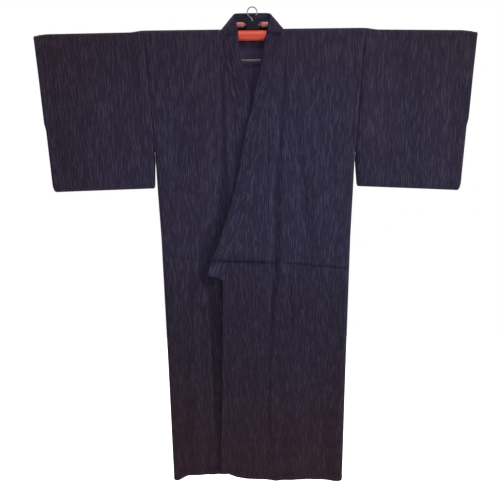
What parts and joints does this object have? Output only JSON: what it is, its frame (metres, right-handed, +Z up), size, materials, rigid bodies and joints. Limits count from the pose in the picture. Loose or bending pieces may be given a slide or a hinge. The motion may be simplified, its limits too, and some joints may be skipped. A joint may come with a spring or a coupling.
{
  "type": "cotton yukata robe on a kimono hanger",
  "caption": "Full-length unlined robe with wide square sleeves and a long crossed neckband, hung flat on a straight pole hanger with a hook.",
  "frame": {"origin": "inner crown of the hanger's hook, where a peg bears and holds the robe", "axes": "+X to the wearer's left, +Y behind the robe, +Z up"},
  "size_m": [1.3162, 0.0497, 1.5667],
  "materials": {
    "cloth": "dark indigo cotton with fine broken pale stripes",
    "band": "the same cotton, its stripes along the neckband",
    "orange_plastic": "glossy orange-red",
    "salmon_plastic": "satin salmon",
    "grey_steel": "satin grey",
    "dark_plastic": "satin near-black",
    "hook_steel": "plain drawn wire"
  },
  "bodies": {
    "root": {"body_left": "cloth", "body_right": "cloth", "okumi_left": "cloth", "okumi_right": "cloth", "sleeve_left": "cloth", "sleeve_right": "cloth", "collar": "band", "over_collar": "band", "hanger_tube": "orange_plastic", "hanger_rod_left": "grey_steel", "hanger_rod_right": "grey_steel", "hanger_saddle": "dark_plastic", "collar_rest_left": "salmon_plastic", "collar_rest_right": "salmon_plastic", "hanger_hook": "hook_steel", "lower_bar": "grey_steel"}
  },
  "joints": []
}
